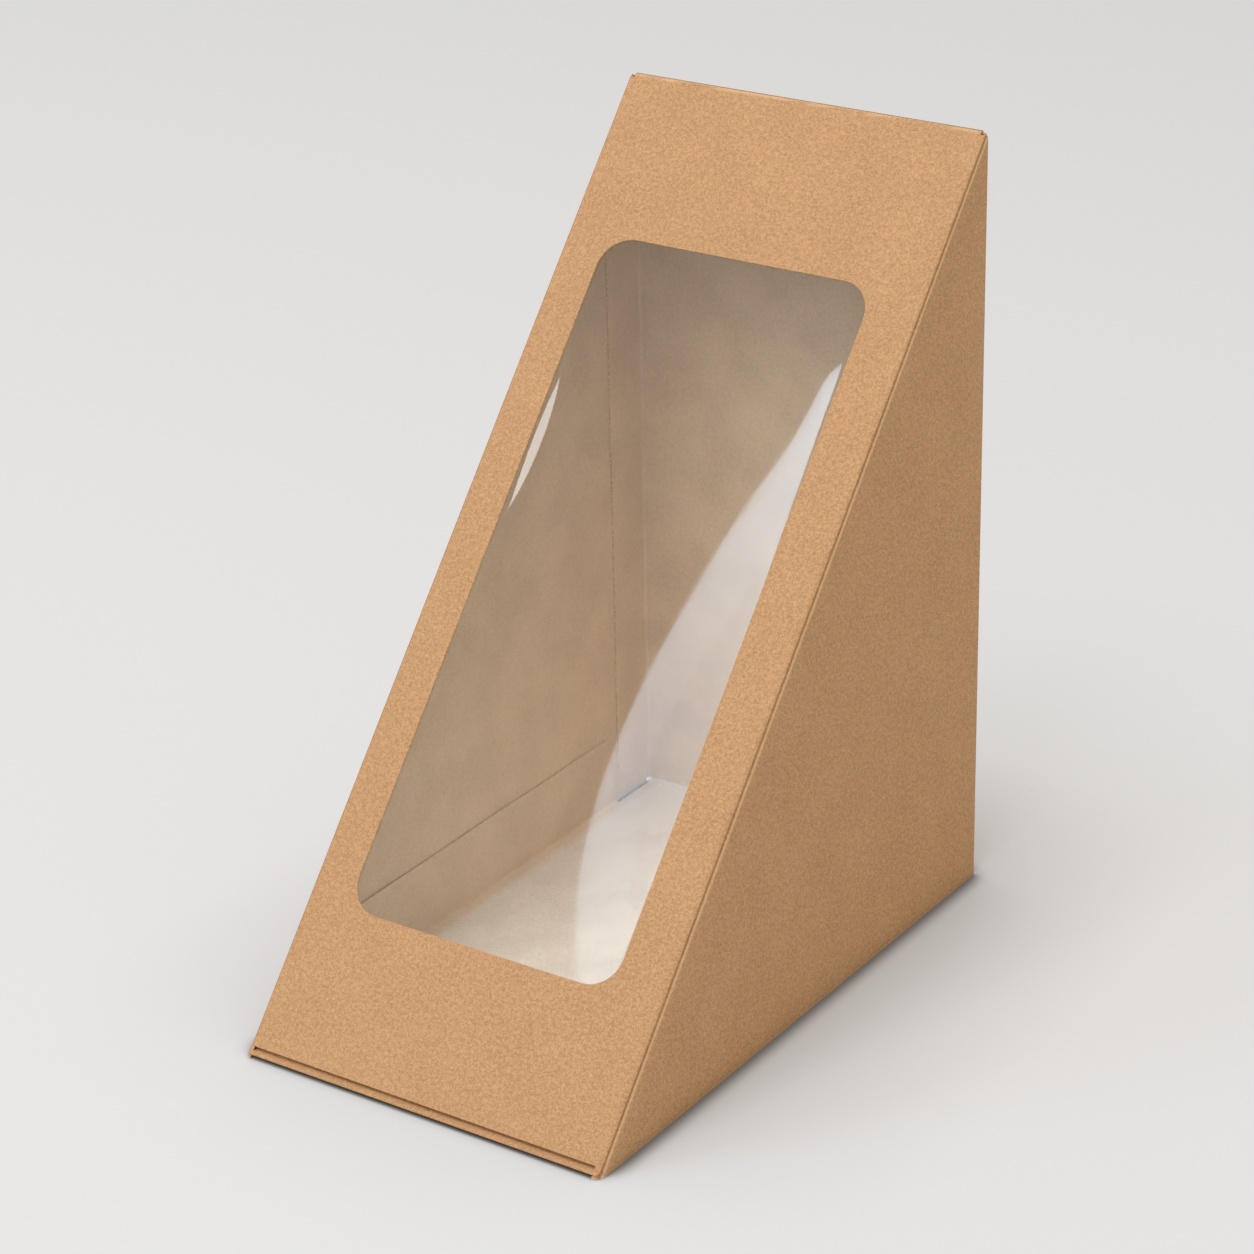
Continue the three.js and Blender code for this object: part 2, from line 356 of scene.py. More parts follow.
def place_back(x, v):
    """Folded place of a point past the apex: the round apex, the back wall or a glue flap."""
    if v < APEX_ARC:
        angle = APEX_TURN - v / APEX_RADIUS
        out = Vector((0, math.cos(angle), math.sin(angle)))
        centre = Vector((x, BACK_Y - APEX_RADIUS, HEIGHT - APEX_RADIUS))
        return centre + out * APEX_RADIUS
    row = Vector((0, BACK_Y, HEIGHT - APEX_RADIUS - (v - APEX_ARC)))
    side = math.copysign(1, x)
    past = abs(x) - FLAP_START
    arc = FOLD_RADIUS * QUARTER
    if past <= 0:
        fade = smooth(-past, 0, WAVE_FADE) * smooth(v, 0, WAVE_FADE) * smooth(row.z, 0, WAVE_FADE)
        return row + X_AXIS * x + Y_AXIS * fade * panel_wave(x, v, 7.0)
    if past < arc:
        turn = past / FOLD_RADIUS
        out = X_AXIS * side * math.sin(turn) + Y_AXIS * math.cos(turn)
        centre = row + X_AXIS * side * FLAP_START - Y_AXIS * FOLD_RADIUS
        return centre + out * FOLD_RADIUS
    depth = FOLD_RADIUS + past - arc
    return row + X_AXIS * side * (FLAP_START + FOLD_RADIUS) - Y_AXIS * depth


# Window panel with its side walls

def cut_window(bm):
    """Cuts the round-cornered window hole into the flat panel."""
    low = Vector((-HALF_WIDTH + WINDOW_LEFT, WINDOW_FOOT))
    high = Vector((HALF_WIDTH - WINDOW_RIGHT, PANEL_LENGTH - WINDOW_TOP))
    r = WINDOW_CORNER
    margin = CELL

    def near(c):
        return low.x - margin < c.x < high.x + margin and low.y - margin < c.y < high.y + margin

    for x in (low.x, low.x + r, high.x - r, high.x):
        cut(bm, (x, 0, 0), X_AXIS, near)
    for s in (low.y, low.y + r, high.y - r, high.y):
        cut(bm, (0, s, 0), Y_AXIS, near)

    hole = set()
    sector = QUARTER / CORNER_CUTS
    for sx, sy in ((-1, -1), (1, -1), (1, 1), (-1, 1)):
        centre = Vector((low.x + r if sx < 0 else high.x - r, low.y + r if sy < 0 else high.y - r))

        def in_corner(c, centre=centre, sx=sx, sy=sy):
            across = (c.x - centre.x) * sx
            along = (c.y - centre.y) * sy
            return 0 < across < r and 0 < along < r

        def direction(angle, sx=sx, sy=sy):
            return Vector((math.cos(angle) * sx, math.sin(angle) * sy, 0))

        middle = Vector((centre.x, centre.y, 0))
        for i in range(1, CORNER_CUTS):
            spoke = direction(i * sector)
            cut(bm, middle, Vector((-spoke.y, spoke.x, 0)), in_corner)
        for i in range(CORNER_CUTS):
            chord = direction((i + 0.5) * sector)
            reach = r * math.cos(sector / 2)

            def in_sector(c, i=i, in_corner=in_corner, centre=centre, sx=sx, sy=sy):
                angle = math.atan2((c.y - centre.y) * sy, (c.x - centre.x) * sx)
                return in_corner(c) and i * sector < angle < (i + 1) * sector

            cut(bm, middle + chord * reach, chord, in_sector)
            for face in bm.faces:
                c = face.calc_center_median()
                if in_sector(c) and (c - middle).dot(chord) < reach:
                    hole.add(face)
    for face in bm.faces:
        c = face.calc_center_median()
        across = low.x < c.x < high.x
        along = low.y < c.y < high.y
        middle_x = low.x + r < c.x < high.x - r
        middle_y = low.y + r < c.y < high.y - r
        if (across and middle_y) or (along and middle_x):
            hole.add(face)
    bmesh.ops.delete(bm, geom=list(hole), context="FACES")


def folded_sheet():
    """Window panel, side walls, apex, back wall and glue flaps, as one folded sheet."""
    flat_half = HALF_WIDTH - APEX_NOTCH
    reach = HALF_WIDTH + DEPTH * SIN
    ridge = even_lines(HALF_WIDTH - 2.4 * MM, HALF_WIDTH + 1.6 * MM, FINE)
    middle = merged_lines(even_lines(-flat_half, flat_half, CELL), [x for x in ridge if x < flat_half],
                          [-x for x in ridge if x < flat_half])
    sides = merged_lines([x for x in ridge if x > flat_half], even_lines(ridge[-1], reach, CELL))
    x_lines = merged_lines([-x for x in sides], middle, sides)
    foot_cut = FRONT_LIFT / SIN
    s_lines = merged_lines([0, foot_cut], even_lines(foot_cut, APEX_START, CELL), [APEX_START - PINHOLE])
    front = flat_sheet(x_lines, s_lines)
    cut_window(front)
    near_apex = APEX_START - PINHOLE
    take_away(front, lambda c: c.y > near_apex and 0 < abs(c.x) - flat_half < PINHOLE * 1.4)
    slit_half = HALF_WIDTH - FOLD_RADIUS
    loose_half = HALF_WIDTH - LOOSE_FOLD_RADIUS
    take_away(front, lambda c: -slit_half < c.x < loose_half and c.y < foot_cut)
    keep_blank_map(front)
    mark_creases(front, from_ridge)
    fold_up(front, place_panel)
    cut(front, (0, 0, 0), Z_AXIS)
    take_away(front, lambda c: c.z < 0)
    paint_foot_highlight(front)
    edge_y = BACK_Y - SIDE_EDGE_SETBACK
    cut(front, (0, edge_y, 0), Y_AXIS, lambda c: abs(c.x) > flat_half)
    take_away(front, lambda c: abs(c.x) > flat_half and c.y > edge_y)

    flap_reach = FLAP_START + GLUE_FLAP - FOLD_RADIUS + FOLD_RADIUS * QUARTER
    flap = merged_lines(even_lines(FLAP_START, FLAP_START + FOLD_RADIUS * QUARTER, FINE),
                        even_lines(FLAP_START + FOLD_RADIUS * QUARTER, flap_reach, CELL))
    flap = [x for x in flap if x > flat_half]
    back_lines = merged_lines([-x for x in flap], middle, flap)
    drop = HEIGHT - APEX_RADIUS - FOLD_RADIUS
    v_lines = merged_lines(even_lines(0, APEX_ARC, FINE), even_lines(APEX_ARC, APEX_ARC + drop, CELL))
    back = flat_sheet(back_lines, v_lines)
    keep_blank_map(back, (0, APEX_START))
    mark_creases(back, from_back_fold)
    fold_up(back, place_back)
    point, normal = behind_slope(BOARD + CLEARANCE)

    def outside_middle(c):
        return abs(c.x) > flat_half

    cut(back, point, normal, outside_middle)
    take_away(back, lambda c: outside_middle(c) and (c - point).dot(normal) > 0)
    take_away(back, lambda c: outside_middle(c) and c.z > HEIGHT - APEX_RADIUS - BOARD)
    taper = Vector((0, GLUE_FLAP - FOLD_RADIUS, GLUE_FLAP_TAPER))
    taper_normal = X_AXIS.cross(Vector((0, -taper.y, taper.z)))
    taper_point = Vector((0, BACK_Y - FOLD_RADIUS, BOARD + CLEARANCE))
    cut(back, taper_point, taper_normal, outside_middle)
    below = -1 if taper_normal.z > 0 else 1
    take_away(back, lambda c: outside_middle(c) and (c - taper_point).dot(taper_normal) * below > 0)

    spare = bpy.data.meshes.new("back")
    back.to_mesh(spare)
    back.free()
    front.from_mesh(spare)
    bpy.data.meshes.remove(spare)
    bmesh.ops.remove_doubles(front, verts=front.verts, dist=WELD)
    return front


# Lid: foot panel, tuck flap and side flaps

LID_HALF = HALF_WIDTH - BOARD - LAYER_GAP * 3
LID_FLAT_HALF = LID_HALF - FOLD_RADIUS
NOSE_HALF = LID_HALF - CLEARANCE
LID_REAR = BACK_Y - FOLD_RADIUS - CLEARANCE
NOSE_Y = FRONT_Y + NOSE_SETBACK + NOSE_RADIUS
TUCK_DEPTH = BOARD + CLEARANCE + 0.3 * MM
HEM_TOP = LIP_LIFT + 2 * NOSE_RADIUS
FLOOR_LENGTH = LID_REAR - NOSE_Y
FLAP_FRONT = LID_REAR - slope_y(2 * (BOARD + CLEARANCE), 0)
NOSE_ARC = NOSE_RADIUS * math.pi
HEM_TANGENT = HEM_FILLET * math.tan(SLOPE / 2)
HEM_LENGTH = slope_y(TUCK_DEPTH, HEM_TOP) - HEM_TANGENT - NOSE_Y
HEM_ARC = HEM_FILLET * SLOPE
TUCK_RISE = TUCK_FLAP - HEM_TOP / SIN - HEM_TANGENT
NOSE_END = FLOOR_LENGTH + NOSE_ARC
HEM_END = NOSE_END + HEM_LENGTH
BEND_END = HEM_END + HEM_ARC


def place_lid(x, v):
    """Folded place of a point of the lid. v runs forward from the rear edge of the foot panel."""
    if v <= FLOOR_LENGTH:
        side = math.copysign(1, x)
        past = abs(x) - LID_FLAT_HALF if v < FLAP_FRONT else 0
        lift = LIP_LIFT * smooth(v, FLOOR_LENGTH - LIP_RUN, FLOOR_LENGTH)
        row = Vector((0, LID_REAR - v, lift))
        arc = FOLD_RADIUS * QUARTER
        if past <= 0:
            fade = smooth(-past, 0, WAVE_FADE) * smooth(v, 0, WAVE_FADE)
            fade *= smooth(FLOOR_LENGTH - v, 0, WAVE_FADE)
            return row + X_AXIS * x - Z_AXIS * fade * panel_wave(x, v, 11.0)
        if past < arc:
            turn = past / FOLD_RADIUS
            out = X_AXIS * side * math.sin(turn) - Z_AXIS * math.cos(turn)
            return row + X_AXIS * side * LID_FLAT_HALF + Z_AXIS * FOLD_RADIUS + out * FOLD_RADIUS
        return row + X_AXIS * side * LID_HALF + Z_AXIS * (FOLD_RADIUS + past - arc)
    if v <= NOSE_END:
        turn = (v - FLOOR_LENGTH) / NOSE_RADIUS
        out = Vector((0, -math.sin(turn), -math.cos(turn)))
        relief = -0.25 * NOSE_RADIUS * bump(turn - 1.9, 0.22)
        return Vector((x, NOSE_Y, LIP_LIFT + NOSE_RADIUS)) + out * (NOSE_RADIUS + relief)
    if v <= HEM_END:
        return Vector((x, NOSE_Y + v - NOSE_END, HEM_TOP))
    turn = min((v - HEM_END) / HEM_FILLET, SLOPE)
    out = Vector((0, -math.sin(turn), math.cos(turn)))
    centre = Vector((x, NOSE_Y + HEM_LENGTH, HEM_TOP + HEM_FILLET))
    place = centre - out * HEM_FILLET
    return place + UP_SLOPE * max(v - BEND_END, 0)


def lid_sheet():
    """Foot panel with its tuck flap and side flaps."""
    arc = FOLD_RADIUS * QUARTER
    flap_reach = LID_FLAT_HALF + arc + SIDE_FLAP - FOLD_RADIUS
    flap = merged_lines(even_lines(LID_FLAT_HALF, LID_FLAT_HALF + arc, FINE),
                        even_lines(LID_FLAT_HALF + arc, flap_reach, CELL))
    x_lines = merged_lines([-x for x in flap], even_lines(-LID_FLAT_HALF, LID_FLAT_HALF, CELL), flap)
    v_lines = merged_lines(even_lines(0, FLOOR_LENGTH, CELL), even_lines(FLOOR_LENGTH, NOSE_END, FINE / 2),
                           even_lines(NOSE_END, HEM_END, FINE * 2), even_lines(HEM_END, BEND_END, FINE),
                           even_lines(BEND_END, BEND_END + TUCK_RISE, CELL))
    x_lines = merged_lines(x_lines, [-NOSE_HALF, NOSE_HALF])
    v_lines = merged_lines(v_lines, [FLAP_FRONT - CLEARANCE, FLAP_FRONT])
    bm = flat_sheet(x_lines, v_lines)
    take_away(bm, lambda c: abs(c.x) > NOSE_HALF and c.y > FLAP_FRONT)
    take_away(bm, lambda c: abs(c.x) > LID_FLAT_HALF and FLAP_FRONT - CLEARANCE < c.y < FLAP_FRONT)
    take_away(bm, lambda c: abs(c.x) > LID_FLAT_HALF and c.y > HEM_END)
    tuck_end = BEND_END + TUCK_RISE
    for side in (-1, 1):
        corner = Vector((side * LID_FLAT_HALF, tuck_end - TUCK_CORNER, 0))
        slant = Vector((1, side, 0))

        def in_tuck(c):
            return c.y > BEND_END

        cut(bm, corner, slant, in_tuck)
        take_away(bm, lambda c: in_tuck(c) and (c - corner).dot(slant) * side > 0)
    keep_blank_map(bm, (0, APEX_START + APEX_ARC + HEIGHT))
    fold_up(bm, place_lid)

    def in_flaps(c):
        return abs(c.x) > LID_FLAT_HALF and c.y > slope_y(2 * (BOARD + CLEARANCE), 0) + CLEARANCE / 2

    point, normal = behind_slope(2 * (BOARD + CLEARANCE))
    cut(bm, point, normal, in_flaps)
    take_away(bm, lambda c: in_flaps(c) and (c - point).dot(normal) > 0)
    rear = Vector((0, BACK_Y - SIDE_FLAP_REAR, 0))
    rear_normal = Vector((0, SIDE_FLAP, SIDE_FLAP_TAPER))
    cut(bm, rear, rear_normal, in_flaps)
    take_away(bm, lambda c: in_flaps(c) and (c - rear).dot(rear_normal) > 0)
    return bm


def crease_sheet():
    """Scored crease that joins the back wall's foot to the lid, as far as both are rigid."""
    arc = FOLD_RADIUS * QUARTER
    length = arc + CLEARANCE
    bm = flat_sheet(even_lines(-LID_FLAT_HALF, LID_FLAT_HALF, CELL), even_lines(0, length, FINE))
    keep_blank_map(bm, (0, APEX_START + APEX_ARC + HEIGHT - length))

    def place(x, v):
        turn = min(v / FOLD_RADIUS, QUARTER)
        out = Vector((0, math.cos(turn), -math.sin(turn)))
        centre = Vector((x, BACK_Y - FOLD_RADIUS, FOLD_RADIUS))
        relief = -GROOVE * bump(v - arc / 2, GROOVE_WIDTH)
        return centre + out * (FOLD_RADIUS + relief) - Y_AXIS * max(v - arc, 0)

    fold_up(bm, place)
    return bm


# Film

def film_sheet():
    """Clear sheet glued behind the window hole, hanging a little slack inside it."""
    low_x = -HALF_WIDTH + WINDOW_LEFT
    high_x = HALF_WIDTH - WINDOW_RIGHT
    low_s = WINDOW_FOOT
    high_s = PANEL_LENGTH - WINDOW_TOP
    step = CELL / 2
    x_lines = merged_lines(even_lines(low_x - FILM_OVERLAP, low_x - FINE, step), even_lines(low_x, high_x, step / 2),
                           even_lines(high_x + FINE, high_x + FILM_OVERLAP, step))
    s_lines = even_lines(low_s - FILM_OVERLAP, high_s + FILM_OVERLAP, step)
    bm = flat_sheet(x_lines, s_lines)
    keep_blank_map(bm)

    def place(x, s):
        glued = place_panel(x, s) - OUT_OF_PANEL * (BOARD + LAYER_GAP)
        across = min(max((x - low_x) / (high_x - low_x), 0), 1)
        along = (s - low_s) / (high_s - low_s)
        sag = FILM_SAG + FILM_BELLY * bump(along - BELLY_AT, BELLY_SPREAD)
        swell = FILM_SWELL * bump(along - SWELL_AT, SWELL_SPREAD)
        hollow = 4 * across * (1 - across) * sag + across * math.exp(-across / SWELL_REACH) * swell
        held = smooth(s, low_s - FILM_OVERLAP, low_s) * smooth(1.02 - along, 0, 0.16)
        return glued - OUT_OF_PANEL * hollow * held

    fold_up(bm, place)
    return bm


# Materials

def new_group(name, inputs, outputs):
    """Empty shader node group with named inputs and outputs."""
    group = bpy.data.node_groups.new(name, "ShaderNodeTree")
    for label, kind, value in inputs:
        socket = group.interface.new_socket(name=label, in_out="INPUT", socket_type=kind)
        socket.default_value = value
    for label, kind in outputs:
        group.interface.new_socket(name=label, in_out="OUTPUT", socket_type=kind)
    return group, group.nodes.new("NodeGroupInput"), group.nodes.new("NodeGroupOutput")


def add(tree, kind, settings=None, **inputs):
    """Adds a node, sets its properties and fills or links its inputs by name."""
    made = tree.nodes.new(kind)
    for key, value in (settings or {}).items():
        setattr(made, key, value)
    for key, value in inputs.items():
        socket = made.inputs[int(key[1:])] if key[0] == "n" and key[1:].isdigit() else made.inputs[key.replace("_", " ")]
        if isinstance(value, bpy.types.NodeSocket):
            tree.links.new(value, socket)
        else:
            socket.default_value = value
    return made


def maths(tree, operation, first, second=0.0, clamp=False):
    """Math node on two values or sockets."""
    settings = {"operation": operation, "use_clamp": clamp}
    return add(tree, "ShaderNodeMath", settings, n0=first, n1=second).outputs[0]


def fade(tree, value, low, high, to_low=0.0, to_high=1.0):
    """Smooth remap of a value from low..high to to_low..to_high."""
    settings = {"interpolation_type": "SMOOTHSTEP"}
    made = add(tree, "ShaderNodeMapRange", settings, Value=value)
    for key, number in zip(("From Min", "From Max", "To Min", "To Max"), (low, high, to_low, to_high)):
        made.inputs[key].default_value = number
    return made.outputs[0]


def blend_colours(tree, mask, first, second, mode="MIX"):
    """Mix of two colours by a mask."""
    made = tree.nodes.new("ShaderNodeMix")
    made.data_type = "RGBA"
    made.blend_type = mode
    for socket, value in ((made.inputs[0], mask), (made.inputs[6], first), (made.inputs[7], second)):
        if isinstance(value, bpy.types.NodeSocket):
            tree.links.new(value, socket)
        else:
            socket.default_value = value
    return made.outputs[2]


def tone(red, green, blue):
    """Colour as it shows on screen, from 0 to 255, as the linear colour that a shader takes."""
    def linear(value):
        share = value / 255
        return share / 12.92 if share <= 0.04045 else ((share + 0.055) / 1.055) ** 2.4
    return (linear(red), linear(green), linear(blue), 1)


DARK_PULP = (0.80, 0.76, 0.72, 1)
PALE_PULP = (1.20, 1.24, 1.30, 1)


def fibre_group():
    """Kraft board: clouds of pulp, a fine mottle, single dark and pale fibres, and the painted shade and highlights
    that the crease attribute holds.
    """
    group, given, result = new_group(
        "kraft fibres",
        [
            ("Ground", "NodeSocketColor", tone(200, 156, 115)),
            ("Contrast", "NodeSocketFloat", 1.0),
            ("Clouds", "NodeSocketFloat", 0.06),
            # strength of the painted shade and highlights along creases
            ("Shade and highlight", "NodeSocketFloat", 1.0),
        ],
        [("Color", "NodeSocketColor"), ("Height", "NodeSocketFloat")],
    )
    blank = add(group, "ShaderNodeUVMap", {"uv_map": "blank"}).outputs[0]

    def pulp(scale, detail, stretch=(1, 1, 1), turn=0.0, distortion=0.0):
        place = add(group, "ShaderNodeMapping", Vector=blank, Scale=stretch, Rotation=(0, 0, turn))
        made = add(group, "ShaderNodeTexNoise", Vector=place.outputs[0], Scale=scale, Detail=detail)
        made.inputs["Distortion"].default_value = distortion
        return made.outputs[0]

    clouds = pulp(90, 3.0)
    mottle = pulp(2100, 1.0, distortion=1.2)
    grit = pulp(4200, 1.0, distortion=0.5)
    fine = maths(group, "MULTIPLY", fade(group, mottle, 0.3, 0.7, -1, 1), 0.36)
    fine = maths(group, "ADD", fine, maths(group, "MULTIPLY", fade(group, grit, 0.3, 0.7, -1, 1), 0.2))
    fine = maths(group, "MULTIPLY", fine, given.outputs["Contrast"])
    broad = maths(group, "MULTIPLY", fade(group, clouds, 0.3, 0.7, -1, 1), given.outputs["Clouds"])
    level = maths(group, "ADD", maths(group, "ADD", fine, broad), 0.5, clamp=True)
    tint = blend_colours(group, level, DARK_PULP, PALE_PULP)
    colour = blend_colours(group, 1.0, given.outputs["Ground"], tint, "MULTIPLY")

    fibres = []
    for turn in (0.3, 1.4, 2.5):
        strand = pulp(1500, 1.0, (1, 0.25, 1), turn, 1.6)
        fibres.append(fade(group, strand, 0.68, 0.78))
    pale = maths(group, "MAXIMUM", fibres[0], fibres[1])
    colour = blend_colours(group, maths(group, "MULTIPLY", pale, 0.15), colour, tone(236, 204, 166))
    colour = blend_colours(group, maths(group, "MULTIPLY", fibres[2], 0.18), colour, tone(150, 104, 66))
    # Painted shade darkens the crease grooves; painted highlight lightens their beads and the side walls' foot
    crease = add(group, "ShaderNodeAttribute", {"attribute_name": "crease"}).outputs["Fac"]
    painted_shade_and_highlight = maths(group, "MULTIPLY", crease, given.outputs["Shade and highlight"])
    dark = maths(group, "MULTIPLY", painted_shade_and_highlight, -0.6, clamp=True)
    light = maths(group, "MULTIPLY", painted_shade_and_highlight, 0.55, clamp=True)
    colour = blend_colours(group, dark, colour, tone(96, 58, 28))
    colour = blend_colours(group, light, colour, tone(240, 206, 165))
    height = maths(group, "ADD", maths(group, "MULTIPLY", mottle, 0.7), maths(group, "MULTIPLY", grit, 0.3))
    group.links.new(colour, result.inputs["Color"])
    group.links.new(height, result.inputs["Height"])
    return group


def new_material(name):
    material = bpy.data.materials.new(name)
    material.use_nodes = True
    tree = material.node_tree
    return material, tree, tree.nodes["Principled BSDF"], tree.nodes["Material Output"]


def board_material(name, fibres, ground, contrast, clouds, shade_and_highlight, roughness, relief, coat=0.0):
    """One face of the board. A pair of grounds is for the foot panel, whose paler ground is painted light, and for
    its side flaps.
    """
    material, tree, shader, _ = new_material(name)
    if isinstance(ground[0], tuple):
        blank = add(tree, "ShaderNodeUVMap", {"uv_map": "blank"}).outputs[0]
        across = add(tree, "ShaderNodeSeparateXYZ", Vector=blank).outputs[0]
        flaps = fade(tree, maths(tree, "ABSOLUTE", across), LID_FLAT_HALF - 3 * MM, LID_FLAT_HALF)
        ground = blend_colours(tree, flaps, ground[0], ground[1])
    grain = add(tree, "ShaderNodeGroup", {"node_tree": fibres}, Ground=ground, Contrast=contrast)
    grain.inputs["Clouds"].default_value = clouds
    grain.inputs["Shade and highlight"].default_value = shade_and_highlight
    tree.links.new(grain.outputs["Color"], shader.inputs["Base Color"])
    rough = fade(tree, grain.outputs["Height"], 0.3, 0.7, roughness - 0.05, roughness + 0.05)
    tree.links.new(rough, shader.inputs["Roughness"])
    raised = add(tree, "ShaderNodeBump", Height=grain.outputs["Height"], Strength=relief, Distance=0.05 * MM)
    tree.links.new(raised.outputs[0], shader.inputs["Normal"])
    shader.inputs["Specular IOR Level"].default_value = 0.3
    shader.inputs["Coat Weight"].default_value = coat
    shader.inputs["Coat Roughness"].default_value = 0.35
    return material


def film_material():
    """Thin clear film: glossy, nearly colourless, and open to the light of the lamps."""
    material, tree, shader, output = new_material("clear_film")
    blank = add(tree, "ShaderNodeUVMap", {"uv_map": "blank"}).outputs[0]
    ripple = add(tree, "ShaderNodeTexNoise", Vector=blank, Scale=38, Detail=1)
    raised = add(tree, "ShaderNodeBump", Height=ripple.outputs[0], Strength=0.03, Distance=1 * MM)
    tree.links.new(raised.outputs[0], shader.inputs["Normal"])
    shader.inputs["Base Color"].default_value = (0.97, 0.98, 0.98, 1)
    shader.inputs["Roughness"].default_value = 0.02
    shader.inputs["IOR"].default_value = 1.6
    shader.inputs["Transmission Weight"].default_value = 1
    through = add(tree, "ShaderNodeBsdfTransparent", Color=(0.93, 0.93, 0.93, 1))
    path = add(tree, "ShaderNodeLightPath")
    mix = add(tree, "ShaderNodeMixShader", n0=path.outputs["Is Shadow Ray"], n1=shader.outputs[0],
              n2=through.outputs[0])
    tree.links.new(mix.outputs[0], output.inputs["Surface"])
    return material


def floor_material():
    """Pale floor that keeps the pack's shadow, with a painted contact shadow next to the pack, and that can be
    looked through from below.
    """
    material, tree, shader, output = new_material("pale_floor")
    shader.inputs["Roughness"].default_value = 0.6
    shader.inputs["Specular IOR Level"].default_value = 0.2
    # Painted contact shadow: the floor's colour darkens where the pack is close
    near = add(tree, "ShaderNodeAmbientOcclusion", Distance=FOOT_SHADE).outputs["AO"]
    foot = blend_colours(tree, fade(tree, near, 0.5, 0.98), (0.3, 0.28, 0.26, 1), (1, 1, 1, 1))
    pale = blend_colours(tree, 1.0, tone(226, 230, 241), foot, "MULTIPLY")
    tree.links.new(pale, shader.inputs["Base Color"])
    place = add(tree, "ShaderNodeTexCoord")
    depth = add(tree, "ShaderNodeSeparateXYZ", Vector=place.outputs["Object"]).outputs[1]
    glow = fade(tree, depth, -0.25, 0.75)
    shade = blend_colours(tree, glow, tone(238, 236, 234), tone(218, 216, 214))
    shade = blend_colours(tree, 1.0, shade, foot, "MULTIPLY")
    # Painted contact shade: the floor's glow dims near the pack
    painted_contact_shade = add(tree, "ShaderNodeAmbientOcclusion", Distance=CONTACT_SHADE).outputs["AO"]
    bright = add(tree, "ShaderNodeEmission", Color=shade, Strength=painted_contact_shade)
    path = add(tree, "ShaderNodeLightPath").outputs
    seen = maths(tree, "ADD", path["Is Camera Ray"], path["Is Glossy Ray"])
    seen = maths(tree, "ADD", seen, path["Is Transmission Ray"], clamp=True)
    share = maths(tree, "MULTIPLY", seen, FLOOR_GLOW)
    mix = add(tree, "ShaderNodeMixShader", n0=share, n1=shader.outputs[0], n2=bright.outputs[0])
    below = add(tree, "ShaderNodeNewGeometry").outputs["Backfacing"]
    clear = add(tree, "ShaderNodeBsdfTransparent")
    mix = add(tree, "ShaderNodeMixShader", n0=below, n1=mix.outputs[0], n2=clear.outputs[0])
    tree.links.new(mix.outputs[0], output.inputs["Surface"])
    return material


# Build the pack

fibres = fibre_group()
# The sixth argument scales the painted crease shade and highlights on each face.
outside = board_material("kraft_outside", fibres, tone(201, 157, 116), 1.0, 0.06, 1.0, 0.75, 0.35)
WALL_COAT = tone(238, 212, 176)
# The lid's inner floor is paler than the walls of the same coat: painted light on the floor that faces up
LIT_FOOT_COAT = tone(245, 234, 218)
inside = board_material("coated_inside", fibres, WALL_COAT, 0.4, 0.13, 0.15, 0.4, 0.12, 0.4)
lid_inside = board_material("coated_lid", fibres, (LIT_FOOT_COAT, WALL_COAT), 0.4, 0.13, 0.15, 0.4, 0.12, 0.4)
raw_edge = board_material("cut_edge", fibres, tone(226, 192, 152), 1.4, 0.06, 0.5, 0.9, 0.5)
board_faces = [outside, inside, raw_edge]

sheet = finish_board(folded_sheet(), "folded_board", board_faces)
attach(sheet, "pack")
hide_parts("card_body")

lid = finish_board(lid_sheet(), "lid_board", [outside, lid_inside, raw_edge])
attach(lid, "lid")
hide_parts("base_lid")

crease = finish_board(crease_sheet(), "lid_crease", [outside, lid_inside, raw_edge])
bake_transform(crease, "pack", "lid", start=(0, BACK_Y, FOLD_RADIUS), end=(0, LID_REAR, 0))

film = finish_board(film_sheet(), "window_sheet", [film_material()], FILM)
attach(film, "pack")
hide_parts("window_film")

# Stage, light and camera

floor_mesh = bpy.data.meshes.new("floor")
ground = bmesh.new()
bmesh.ops.create_grid(ground, x_segments=1, y_segments=1, size=3)
bmesh.ops.translate(ground, vec=(0, 0, -LAYER_GAP), verts=ground.verts)
ground.to_mesh(floor_mesh)
ground.free()
floor = bpy.data.objects.new("floor", floor_mesh)
floor_mesh.materials.append(floor_material())
bpy.context.scene.collection.objects.link(floor)


def panel_direction(yaw, pitch):
    """Direction from the window panel, in degrees across it and up its slope."""
    across = math.radians(yaw)
    along = math.radians(pitch)
    level = X_AXIS * math.sin(across) + OUT_OF_PANEL * math.cos(across)
    return level * math.cos(along) + UP_SLOPE * math.sin(along)


def soft_box(name, direction, aim, distance, size, watts, colour=(1, 1, 1), foot_share=1.0):
    """Area light that faces the aim from a direction, and is dimmer towards its foot."""
    light = bpy.data.lights.new(name, "AREA")
    light.shape = "RECTANGLE"
    light.size, light.size_y = size
    light.energy = watts
    light.color = colour
    light.use_nodes = True
    tree = light.node_tree
    place = add(tree, "ShaderNodeNewGeometry").outputs["Parametric"]
    height = add(tree, "ShaderNodeSeparateXYZ", Vector=place).outputs[1]
    level = fade(tree, height, 0.25, 0.75, foot_share, 1)
    tree.links.new(level, tree.nodes["Emission"].inputs["Strength"])
    lamp = bpy.data.objects.new(name, light)
    bpy.context.scene.collection.objects.link(lamp)
    across = UP_SLOPE.cross(direction).normalized()
    lamp.location = aim + direction * distance
    lamp.rotation_euler = Matrix((across, direction.cross(across), direction)).transposed().to_euler()
    return lamp


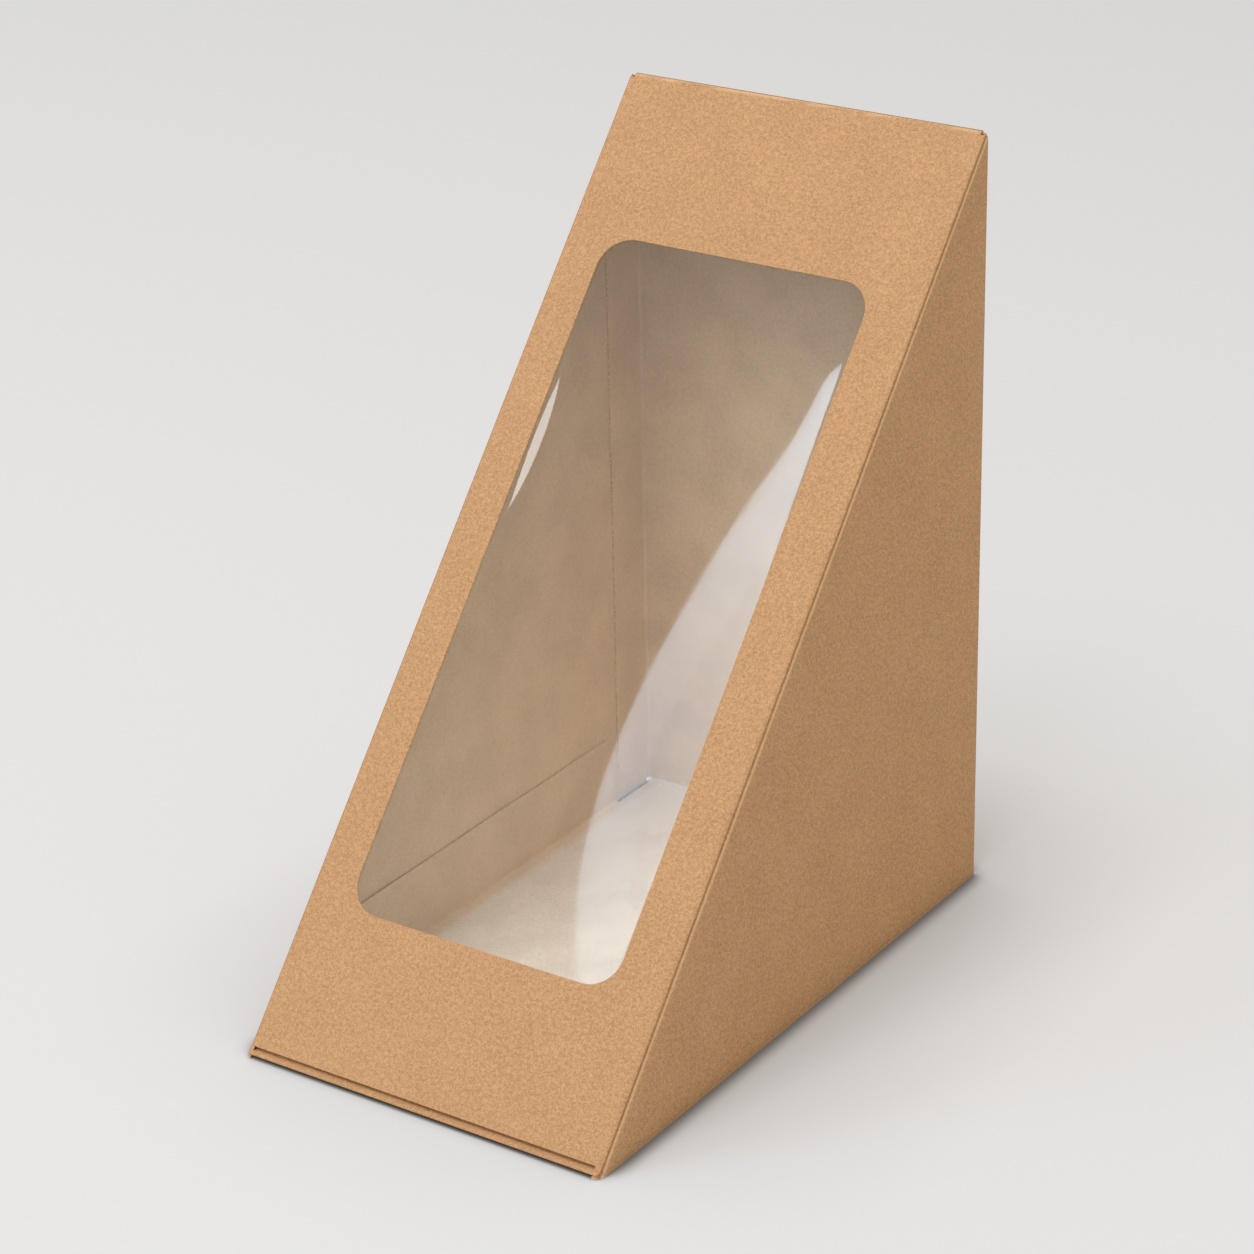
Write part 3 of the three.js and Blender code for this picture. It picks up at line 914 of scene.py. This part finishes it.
WINDOW_MIDDLE = FOOT_LINE + UP_SLOPE * (WINDOW_FOOT + PANEL_LENGTH - WINDOW_TOP) / 2
COOL = (0.66, 0.82, 1)
soft_box("key_light", panel_direction(-44.8, 10), WINDOW_MIDDLE, 2.0, (0.6, 1.2), 8.0, COOL, 0.34)
soft_box("key_edge", panel_direction(-37.9, 10), WINDOW_MIDDLE, 1.99, (0.1, 1.2), 0.25, COOL, 0.34)
soft_box("fill_light", panel_direction(-4, 28), WINDOW_MIDDLE, 2.0, (1.1, 1.5), 18.2)

world = bpy.data.worlds.new("studio")
bpy.context.scene.world = world
world.use_nodes = True
sky_tree = world.node_tree
sky = sky_tree.nodes["Background"]
sky.inputs["Color"].default_value = (1, 0.91, 0.72, 1)
sky.inputs["Strength"].default_value = 0.6
backdrop = add(sky_tree, "ShaderNodeBackground", Color=tone(218, 216, 214), Strength=1)
path = add(sky_tree, "ShaderNodeLightPath").outputs
seen = maths(sky_tree, "ADD", path["Is Camera Ray"], path["Is Glossy Ray"])
seen = maths(sky_tree, "ADD", seen, path["Is Transmission Ray"], clamp=True)
sky_mix = add(sky_tree, "ShaderNodeMixShader", n0=seen, n1=sky.outputs[0], n2=backdrop.outputs[0])
sky_tree.links.new(sky_mix.outputs[0], sky_tree.nodes["World Output"].inputs["Surface"])

# Camera at the photograph's viewing angle
CAMERA_PLACE = Vector((0.3289, -0.4745, 0.3270))
CAMERA_AZIMUTH = math.radians(34.569)
CAMERA_ELEVATION = math.radians(24.411)
CAMERA_ROLL = math.radians(-1.310)
CAMERA_LENS = 106.95

camera_data = bpy.data.cameras.new("camera")
camera_data.sensor_width = 36
camera_data.lens = CAMERA_LENS
camera_data.clip_start = 0.01
camera = bpy.data.objects.new("camera", camera_data)
bpy.context.scene.collection.objects.link(camera)
turn = (
    Matrix.Rotation(CAMERA_AZIMUTH, 4, "Z")
    @ Matrix.Rotation(math.pi / 2 - CAMERA_ELEVATION, 4, "X")
    @ Matrix.Rotation(CAMERA_ROLL, 4, "Z")
)
camera.matrix_world = Matrix.Translation(CAMERA_PLACE) @ turn
bpy.context.scene.camera = camera
bpy.context.scene.view_settings.view_transform = "Standard"
